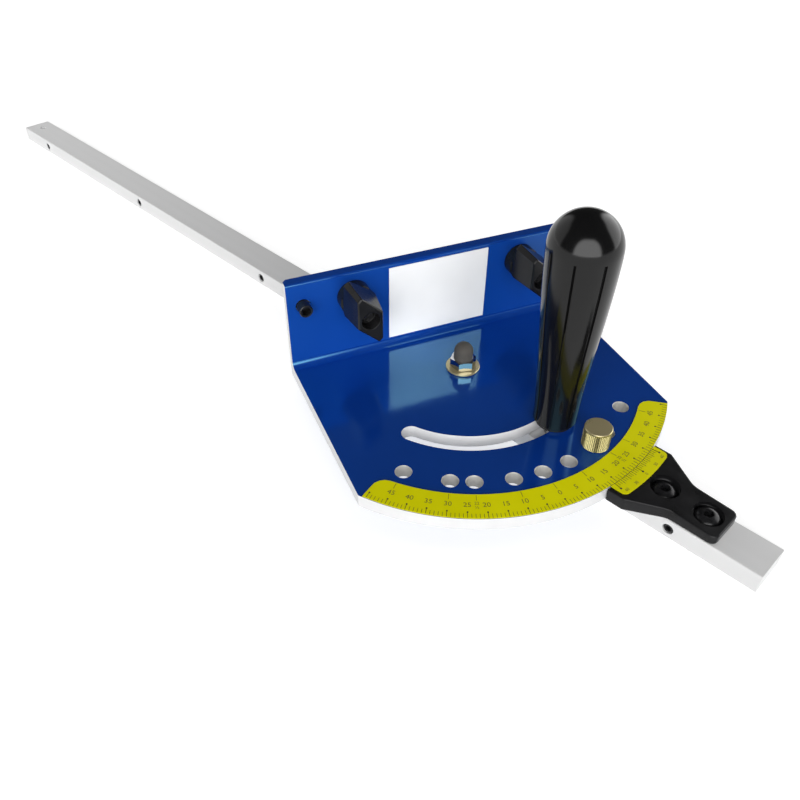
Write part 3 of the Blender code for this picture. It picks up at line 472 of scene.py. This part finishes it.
for level, across, size, steps in ((PLATE_TOP, FLANGE_NEAR, 0.0034, 12),
                                   (FLANGE_TOP, FLANGE_NEAR, 0.0010, 6),
                                   (FLANGE_TOP, FLANGE_FAR, 0.0005, 4),
                                   (PLATE_BOTTOM, FLANGE_FAR, 0.0012, 6)):
    pick_edges(lambda a, b: abs(a.x - b.x) > 0.05
               and abs(a.y - across) + abs(b.y - across) < 0.0001
               and abs(a.z - level) + abs(b.z - level) < 0.0001)
    bpy.ops.mesh.bevel(offset=size, segments=steps, affect="EDGES")
bpy.ops.object.mode_set(mode="OBJECT")


def polar(radius, degrees):
    """A point on the head, at an angle from its middle line."""
    turn = math.radians(degrees)
    return radius * math.sin(turn), -radius * math.cos(turn)


for degrees in STOPS:
    x, y = polar(STOP_RADIUS, degrees)
    cut(head, turned("stop_drill", [(0.0035, 0.005), (0.0035, 0.015925), (0.0039, 0.016325)], 48,
                     (x, y, 0.0)))
cut(head, turned("pivot_drill", [(STUD_HOLE, 0.005), (STUD_HOLE, 0.020)], 48))
for end in (-SLOT_REACH, SLOT_REACH):
    x, y = polar(SLOT_RADIUS, end)
    cut(head, turned("slot_end_mill", [(SLOT_WIDTH / 2.0, 0.005), (SLOT_WIDTH / 2.0, 0.020)], 64,
                     (x, y, 0.0)))
deselect()
bpy.ops.mesh.primitive_plane_add(size=1.0, location=(0.0, -SLOT_RADIUS, 0.0125),
                                 rotation=(0.0, math.radians(90.0), 0.0))
mill = bpy.context.object
mill.scale = (0.015, SLOT_WIDTH, 1.0)
bpy.ops.object.transform_apply(location=True, rotation=True, scale=True)
mill.rotation_euler[2] = math.radians(SLOT_REACH)
bpy.ops.object.transform_apply(rotation=True)
bpy.ops.object.mode_set(mode="EDIT")
bpy.ops.mesh.select_all(action="SELECT")
bpy.ops.mesh.spin(steps=68, angle=math.radians(2.0 * SLOT_REACH), center=(0.0, 0.0, 0.0),
                  axis=(0.0, 0.0, 1.0))
bpy.ops.mesh.select_all(action="SELECT")
bpy.ops.mesh.normals_make_consistent(inside=False)
bpy.ops.object.mode_set(mode="OBJECT")
cut(head, mill)
for offset in (-BOLT_OFFSET, BOLT_OFFSET, -SQUARING_OFFSET, SQUARING_OFFSET):
    drill = turned("flange_drill", [(STUD_HOLE, -0.010), (STUD_HOLE, 0.010)], 48)
    drill.location = (offset, 0.0338, BOLT_LEVEL)
    drill.rotation_euler = (math.radians(90.0), 0.0, 0.0)
    cut(head, drill)
weights = head.modifiers.new("weighted", "WEIGHTED_NORMAL")
weights.keep_sharp = True

blue_coat = grained("blue_coat", ((0.0020, 0.033, 0.245), (0.0030, 0.037, 0.265)), 0.0,
                    (0.09, 0.13), (2500.0, 35.0), (1.0, 1.0, 1.0), 0.0000012)
milled = grained("milled_aluminium", ((0.73, 0.73, 0.735), (0.76, 0.76, 0.765)), 0.20,
                 (0.34, 0.46), (6000.0, 200.0), (1.0, 1.0, 0.2), 0.000002)
# A darker, beige copy of the bare aluminium for the stop holes' walls: painted shade inside the
# holes.
hole_wall_painted_shade = grained("aluminium_painted_hole_shade", ((0.45, 0.44, 0.41), (0.52, 0.51, 0.48)), 0.30,
                  (0.30, 0.42), (6000.0, 200.0), (1.0, 1.0, 0.2), 0.000002)
# The flange face's coat: a rougher satin, and a lighter blue than the rest, as painted light where
# it faces the front lamp.
satin_coat_painted_light = grained("satin_blue_coat_painted_light", ((0.0030, 0.044, 0.285), (0.0045, 0.049, 0.310)), 0.0,
                     (0.26, 0.34), (2500.0, 35.0), (1.0, 1.0, 1.0), 0.0000012)
for coat, index_of_refraction in ((blue_coat, 2.4), (satin_coat_painted_light, 1.55)):
    tune(coat, "IOR", index_of_refraction)
    tune(coat, "Specular Tint", (0.30, 0.82, 1.0, 1.0))
for finish in (blue_coat, milled, hole_wall_painted_shade, satin_coat_painted_light):
    head.data.materials.append(finish)
for face in head.data.polygons:
    middle, normal = face.center, face.normal
    on_flange_face = abs(normal.y) > 0.999 and middle.y > 0.030
    upright = abs(normal.z) < 0.02 and not on_flange_face
    in_flange_hole = (abs(normal.y) < 0.1 and 0.0312 < middle.y < 0.0364
                      and 0.040 < middle.z < 0.060)
    from_stops = abs(math.hypot(middle.x, middle.y) - STOP_RADIUS)
    in_stop_hole = from_stops < 0.0040 and abs(middle.x) < 0.060 and abs(normal.z) < 0.8
    # Stop holes' walls take the darker aluminium, painted shade inside the holes.
    if in_stop_hole:
        face.material_index = 2
    elif upright or in_flange_hole:
        face.material_index = 1
    else:
        face.material_index = 3 if on_flange_face else 0
head.rotation_euler[2] = HEAD_TURN
work_on(head)
bpy.ops.object.shade_smooth_by_angle(angle=math.radians(30.0))
bpy.ops.object.modifier_apply(modifier="weighted")
bpy.ops.object.transform_apply(rotation=True)
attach(head, "head")
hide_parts("head_plate")


# Scale: a yellow film label along the arc, printed in black with a line for each degree, a
# dot and a number for each fifth, and a leader at each stop. The print is a thin raised ink.
INK_LEVEL = 0.016800
INK_THICK = 0.00003

yellow_film = grained("yellow_film", ((0.66, 0.635, 0.0), (0.70, 0.675, 0.001)), 0.0,
                      (0.34, 0.46), (3000.0, 60.0), (1.0, 1.0, 1.0), 0.000001)
tune(yellow_film, "IOR", 1.2)
ink = grained("black_ink", ((0.02, 0.02, 0.005), (0.035, 0.034, 0.008)), 0.0, (0.5, 0.62),
              (6000.0, 200.0), (1.0, 1.0, 1.0), 0.000001)
pale_ink = grained("pale_ink", ((0.13, 0.125, 0.006), (0.17, 0.165, 0.009)), 0.0, (0.5, 0.62),
                   (6000.0, 200.0), (1.0, 1.0, 1.0), 0.000001)


def merged_copy(node, name):
    """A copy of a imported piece, with its loose triangles joined into whole faces."""
    piece = bpy.data.objects.new(name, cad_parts[node].data.copy())
    bpy.context.scene.collection.objects.link(piece)
    work_on(piece)
    bpy.ops.object.mode_set(mode="EDIT")
    bpy.ops.mesh.select_all(action="SELECT")
    bpy.ops.mesh.remove_doubles(threshold=0.000001)
    bpy.ops.mesh.dissolve_limited(angle_limit=math.radians(0.5))
    bpy.ops.object.mode_set(mode="OBJECT")
    return piece


def reach_to(piece, test, before, after):
    """Moves the chosen wall of a film on the arc from one radius to another."""
    work_on(piece)
    bpy.ops.object.mode_set(mode="EDIT")
    bpy.ops.mesh.select_mode(type="VERT")
    bpy.ops.mesh.select_all(action="DESELECT")
    mesh = bmesh.from_edit_mesh(piece.data)
    for vert in mesh.verts:
        vert.select_set(test(math.hypot(vert.co.x, vert.co.y)))
    bmesh.update_edit_mesh(piece.data)
    bpy.ops.transform.resize(value=(after / before, after / before, 1.0),
                             center_override=(0.0, 0.0, 0.0))
    bpy.ops.object.mode_set(mode="OBJECT")


scale_film = merged_copy("scale_label", "scale_film")
reach_to(scale_film, lambda radius: radius > 0.0966, before=0.0967, after=ARC_RADIUS)
settle(scale_film, yellow_film, "head", "yellow_label", "scale_label", smooth=30.0)


def ink_line(radius, degrees, length, width):
    """One printed line, pointing at the pivot."""
    x, y = polar(radius, degrees)
    bpy.ops.mesh.primitive_cube_add(size=1.0, location=(x, y, INK_LEVEL),
                                    rotation=(0.0, 0.0, math.radians(degrees)),
                                    scale=(width, length, INK_THICK))


def ink_dot(radius, degrees, size):
    """One printed dot."""
    x, y = polar(radius, degrees)
    bpy.ops.mesh.primitive_cylinder_add(vertices=16, radius=size, depth=INK_THICK,
                                        location=(x, y, INK_LEVEL))


def ink_number(text, radius, degrees, size):
    """A printed number with its top towards the pivot."""
    x, y = polar(radius, degrees)
    bpy.ops.object.text_add(location=(x, y, INK_LEVEL),
                            rotation=(0.0, 0.0, math.radians(degrees)))
    number = bpy.context.object
    number.data.body = text
    number.data.size = size
    number.data.align_x = "CENTER"
    number.data.align_y = "CENTER"
    number.data.extrude = INK_THICK / 2.0
    number.data.resolution_u = 3
    work_on(number)
    bpy.ops.object.convert(target="MESH")
    bpy.context.object.data.materials.append(pale_ink)
    return bpy.context.object


def one_print(name, pieces):
    """Joins printed marks into one piece."""
    deselect()
    for piece in pieces:
        piece.select_set(True)
    bpy.context.view_layer.objects.active = pieces[0]
    bpy.ops.object.join()
    pieces[0].name = name
    return pieces[0]


def start_print(radius):
    """Lays the middle line of a print and opens it, so that more marks join it."""
    deselect()
    bpy.ops.mesh.primitive_cube_add(size=1.0, location=(0.0, -radius, INK_LEVEL),
                                    scale=(0.00012, 0.0022, INK_THICK))
    bpy.context.object.data.materials.append(ink)
    bpy.ops.object.transform_apply(location=True, rotation=True, scale=True)
    bpy.ops.object.mode_set(mode="EDIT")
    return bpy.context.object


marks = start_print(0.0955)
for degrees in range(-50, 51):
    if degrees % 5:
        ink_line(0.09580, degrees, 0.0022, 0.00018)
    else:
        ink_line(0.09530, degrees, 0.0032, 0.00022)
        ink_dot(0.09390, degrees, 0.00040)
for degrees in STOPS:
    ink_line(0.08620, degrees, 0.0030, 0.00018)
bpy.ops.object.mode_set(mode="OBJECT")
numbers = [marks]
for degrees in range(-45, 46, 5):
    numbers.append(ink_number(str(abs(degrees)), 0.09010, degrees, 0.0034))
for degrees in (-22.5, 22.5):
    numbers.append(ink_number("22", 0.08920, degrees, 0.0021))
    numbers.append(ink_number("½", 0.09140, degrees, 0.0024))
scale_print = one_print("scale_print", numbers)
scale_print.rotation_euler[2] = HEAD_TURN
settle(scale_print, None, "head", None, smooth=30.0)


# Label on the flange: a plain white film with nothing printed on it. It has the faint
# shine and waviness of vinyl.
white_film = grained("white_film", ((0.82, 0.82, 0.82), (0.90, 0.90, 0.90)), 0.0, (0.28, 0.40),
                     (2500.0, 30.0), (1.0, 1.0, 1.0), 0.000001)
dress("name_label", white_film)


# Vernier pointer: moulded black plastic on the bar, with a yellow label whose lines count
# against the head's. Two button-head screws sit in its round recesses.
VERNIER_STEP = 0.7083


def weigh(piece):
    """Lets the broad flat faces of a piece set how its rounded edges are shaded."""
    work_on(piece)
    modifier = piece.modifiers.new("weighted", "WEIGHTED_NORMAL")
    modifier.keep_sharp = True
    bpy.ops.object.modifier_apply(modifier=modifier.name)


black_plastic = grained("moulded_black", ((0.007, 0.007, 0.0075), (0.012, 0.012, 0.013)), 0.0,
                        (0.18, 0.28), (4500.0, 120.0), (1.0, 1.0, 1.0), 0.000004)
tune(black_plastic, "IOR", 1.28)
pointer = merged_copy("vernier_pointer", "pointer")
mesh = bmesh.new()
mesh.from_mesh(pointer.data)
for edge in mesh.edges:
    edge.smooth = not all(face.normal.z > 0.9 for face in edge.link_faces)
mesh.to_mesh(pointer.data)
mesh.free()
settle(pointer, black_plastic, "bar", "black_plastic", "vernier_pointer", smooth=40.0)
weigh(pointer)
vernier_film = merged_copy("vernier_label", "vernier_film")
reach_to(vernier_film, lambda radius: radius < 0.0977, before=0.0976, after=0.0973)
settle(vernier_film, yellow_film, "bar", "yellow_label", "vernier_label", smooth=30.0)

marks = start_print(0.0991)
for count in range(-12, 13):
    degrees = count * VERNIER_STEP
    if count % 3:
        ink_line(0.09840, degrees, 0.0020, 0.00018)
    else:
        ink_line(0.09870, degrees, 0.0026, 0.00022)
for degrees in (-8.5, 0.0, 8.5):
    ink_line(0.09890, degrees, 0.0032, 0.00028)
    ink_dot(0.10070, degrees, 0.00050)
bpy.ops.object.mode_set(mode="OBJECT")
numbers = [marks]
for text, degrees in (("60", -7.6), ("30", -4.25), ("0", 0.0), ("30", 4.25), ("60", 7.6)):
    numbers.append(ink_number(text, 0.1026, degrees, 0.0020))
vernier_print = one_print("vernier_print", numbers)
settle(vernier_print, None, "bar", None, smooth=30.0)


# Button-head screws: black steel, forged heads domed on a lathe and broached for a key. They
# hold the pointer on the bar.
THREAD_RADIUS = 0.003175
BUTTON_RADIUS = 0.0054
BUTTON_WALL = 0.00066
BUTTON_CROWN = 0.00264
BUTTON_HEIGHT = 0.0033

head_profile = [(THREAD_RADIUS, -0.0092), (THREAD_RADIUS, 0.0),
                (BUTTON_RADIUS, 0.0), (BUTTON_RADIUS, BUTTON_WALL)]
for step in range(1, 9):
    turn = math.radians(7.5 * step)
    rise = BUTTON_CROWN * math.sin(turn) / math.sin(math.radians(60.0))
    head_profile.append((BUTTON_RADIUS * math.cos(turn), BUTTON_WALL + rise))
head_profile.append((0.0021, BUTTON_HEIGHT))
for node in ("pointer_screw_front", "pointer_screw_rear"):
    low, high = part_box(node)
    place = (0.0, (low.y + high.y) / 2.0, high.z - BUTTON_HEIGHT)
    screw = turned(node.replace("pointer", "button"), head_profile, 64, place)
    cut(screw, hexagon_tool(0.0040, 0.0010, 0.0050, place, math.radians(12.0)))
    settle(screw, black_oxide, "bar", "black_steel", node)


# Handle: a tall grip of polished black plastic, swelling from its foot to a round dome. Eight
# narrow flutes run up it and stop short at the dome. It turns on a stud and clamps the head.
HANDLE_FOOT = (0.0, -0.0548, 0.018375)
GRIP_FOOT_RADIUS = 0.0097
GRIP_SWELL = 0.0051
GRIP_DOME_RADIUS = 0.0148
GRIP_DOME_CENTRE = 0.0865
FLUTE_TURN = 23.5
FLUTE_SPACING = 45.0
FLUTE_DEPTH = 0.0007


def grip_radius(share):
    """The grip's radius, from its foot (0) to the middle of its dome (1)."""
    swell = 0.75 * (3.0 * share ** 2 - 2.0 * share ** 3) + 0.25 * share
    return GRIP_FOOT_RADIUS + GRIP_SWELL * swell


def grip_profile(inset):
    """The outline of the grip, or one that lies an even depth inside it."""
    profile = [(0.0094 - inset, 0.0), (GRIP_FOOT_RADIUS - inset, 0.0004),
               (GRIP_FOOT_RADIUS - inset, 0.0010)]
    for step in range(1, 31):
        share = step / 30.0
        profile.append((max(grip_radius(share), GRIP_FOOT_RADIUS) - inset,
                        GRIP_DOME_CENTRE * share))
    dome_radius = GRIP_DOME_RADIUS - inset
    for step in range(1, 19):
        turn = math.radians(5.0 * step)
        profile.append((dome_radius * math.cos(turn),
                        GRIP_DOME_CENTRE + dome_radius * math.sin(turn)))
    return profile


grip = turned("fluted_grip", grip_profile(0.0), 144, HANDLE_FOOT)
core = turned("grip_core", grip_profile(FLUTE_DEPTH), 144, HANDLE_FOOT)
deselect()
bpy.ops.mesh.primitive_cube_add(size=1.0, scale=(0.040, 0.0013, 0.0881),
                                location=(0.0, HANDLE_FOOT[1], HANDLE_FOOT[2] + 0.04205))
fins = bpy.context.object
bpy.ops.object.transform_apply(location=True, rotation=True, scale=True)
bpy.ops.object.mode_set(mode="EDIT")
bpy.ops.mesh.select_all(action="SELECT")
for count in range(3):
    bpy.ops.mesh.duplicate()
    bpy.ops.transform.rotate(value=math.radians(FLUTE_SPACING), orient_axis="Z",
                             center_override=(0.0, HANDLE_FOOT[1], 0.0))
bpy.ops.mesh.select_all(action="SELECT")
bpy.ops.transform.rotate(value=math.radians(FLUTE_TURN), orient_axis="Z",
                         center_override=(0.0, HANDLE_FOOT[1], 0.0))
bpy.ops.object.mode_set(mode="OBJECT")
work_on(fins)
keep = fins.modifiers.new("core", "BOOLEAN")
keep.object = core
keep.operation = "DIFFERENCE"
keep.solver = "EXACT"
keep.use_self = True
bpy.ops.object.modifier_apply(modifier="core")
bpy.data.objects.remove(core)
cut(grip, fins)
for vert in grip.data.vertices:
    offset = vert.co - Vector((0.0, HANDLE_FOOT[1], 0.0))
    out = math.hypot(offset.x, offset.y)
    share = (offset.z - HANDLE_FOOT[2]) / GRIP_DOME_CENTRE
    bearing = math.degrees(math.atan2(offset.y, offset.x))
    from_flute = (bearing - FLUTE_TURN + FLUTE_SPACING / 2.0) % FLUTE_SPACING - FLUTE_SPACING / 2.0
    if not 0.0 <= share < 1.0 or abs(from_flute) >= 5.0:
        continue
    if out < max(grip_radius(share), GRIP_FOOT_RADIUS) - 0.0005:
        turn = math.radians(bearing - 0.75 * from_flute)
        vert.co.x = out * math.cos(turn)
        vert.co.y = out * math.sin(turn) + HANDLE_FOOT[1]
polished_black = grained("polished_black", ((0.0035, 0.0035, 0.0037), (0.005, 0.005, 0.0052)),
                         0.0, (0.12, 0.16), (1200.0, 60.0), (1.0, 1.0, 1.0), 0.0000008)
tune(polished_black, "IOR", 1.38)
settle(grip, polished_black, "handle", "handle_plastic", "handle_grip")
dress("handle_stud", bright_steel)
dress("handle_washer", black_oxide)


# Stop pin: turned from brass rod, with a head knurled in fine rows of pits to pull it by. Its
# shank drops through a stop hole of the head into the bar. The knurled band is a darker copy of
# the brass, as painted shade among the pits.
PIN_HEAD_RADIUS = 0.0061
KNURL_START = 0.0005
KNURL_PITCH = 0.00040
KNURL_ROWS = 22
KNURL_TURN = 3.75

pin_low, pin_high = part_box("stop_pin")
pin_place = ((pin_low.x + pin_high.x) / 2.0, (pin_low.y + pin_high.y) / 2.0, 0.016475)
pin = turned("knurled_pin",
             [(0.0057, 0.0), (PIN_HEAD_RADIUS, 0.0004), (PIN_HEAD_RADIUS, KNURL_START)]
             + [(PIN_HEAD_RADIUS, KNURL_START + KNURL_PITCH * row)
                for row in range(1, KNURL_ROWS + 1)]
             + [(PIN_HEAD_RADIUS, 0.0097), (PIN_HEAD_RADIUS, 0.0099), (0.0058, 0.0102)],
             96, pin_place)
bpy.ops.object.mode_set(mode="EDIT")
bpy.ops.mesh.select_mode(type="VERT")
bpy.ops.mesh.select_all(action="DESELECT")
mesh = bmesh.from_edit_mesh(pin.data)
for vert in mesh.verts:
    bearing = math.degrees(math.atan2(vert.co.y - pin_place[1], vert.co.x - pin_place[0]))
    column = round(bearing / KNURL_TURN)
    row = (vert.co.z - pin_place[2] - KNURL_START) / KNURL_PITCH
    vert.select_set(0.5 < row < KNURL_ROWS + 0.5 and column % 2 == 1 and round(row) % 2 == 1)
bmesh.update_edit_mesh(pin.data)
bpy.ops.transform.resize(value=(0.92, 0.92, 1.0),
                         center_override=(pin_place[0], pin_place[1], 0.0))
bpy.ops.object.mode_set(mode="OBJECT")
cut(pin, turned("pin_shank", [(0.0025, -0.00665), (THREAD_RADIUS, -0.0060), (THREAD_RADIUS, 0.002)],
                48, pin_place), "UNION")
settle(pin, brass, "pin", "brass", "stop_pin", smooth=12.0)
# A darker copy of the brass for the knurled band: painted shade among the pits.
brass_painted_knurl_shade = grained("brass_painted_knurl_shade", ((0.28, 0.245, 0.10), (0.34, 0.30, 0.13)), 0.7,
                        (0.18, 0.26), (5000.0, 60.0), (1.0, 1.0, 1.0), 0.000001)
pin.data.materials.append(brass_painted_knurl_shade)
for face in pin.data.polygons:
    from_axis = math.hypot(face.center.x - pin_place[0], face.center.y - pin_place[1])
    on_knurl = 0.0003 < face.center.z - pin_place[2] < 0.0097 and from_axis > 0.0050
    face.material_index = 1 if on_knurl else 0


# Wing knobs: moulded black plastic on steel bolts, to clamp a fence to the far side of the
# flange. Each is one moulding with a round boss at the flange, and its bolt's end shows in a
# recess.
BOSS_RADIUS = 0.0081
BOSS_TOP = 0.0062

for side, bolt_offset in (("left", -BOLT_OFFSET), ("right", BOLT_OFFSET)):
    knob = merged_copy("wing_knob_" + side, side + "_wing")
    work_on(knob)
    rounded = knob.modifiers.new("rounded", "BEVEL")
    rounded.width = 0.0003
    rounded.segments = 3
    rounded.limit_method = "ANGLE"
    rounded.angle_limit = math.radians(28.0)
    bpy.ops.object.modifier_apply(modifier="rounded")
    boss = turned("boss_" + side, [(BOSS_RADIUS, 0.0003), (BOSS_RADIUS, 0.0058),
                                   (0.0078, BOSS_TOP)], 72)
    cut(boss, turned("boss_bore", [(STUD_HOLE, 0.0), (STUD_HOLE, 0.0070)], 48))
    foot = Vector((bolt_offset, FLANGE_NEAR, 0.0))
    foot.rotate(Euler((0.0, 0.0, HEAD_TURN)))
    boss.location = (foot.x, foot.y, BOLT_LEVEL)
    boss.rotation_euler = (math.radians(90.0), 0.0, HEAD_TURN)
    cut(knob, boss, "UNION")
    settle(knob, black_plastic, "wing_" + side, "black_plastic", "wing_knob_" + side, smooth=40.0)
    weigh(knob)
    dress("fence_bolt_" + side, black_oxide)


# Squaring screws: black socket set screws through the flange. Their tips bear on a fence to
# bring it square, and their sockets stand out on the near side.
SOCKET_END = 0.0254

for side, offset in (("left", -SQUARING_OFFSET), ("right", SQUARING_OFFSET)):
    end = Vector((offset, SOCKET_END, 0.0))
    end.rotate(Euler((0.0, 0.0, HEAD_TURN)))
    screw = socket_screw(side + "_squaring_screw",
                         (end.x, end.y, BOLT_LEVEL), (math.radians(90.0), 0.0, HEAD_TURN),
                         radius=THREAD_RADIUS, length=0.0110, across_flats=0.0040)
    settle(screw, black_oxide, "squaring_" + side, "black_steel", "squaring_screw_" + side)
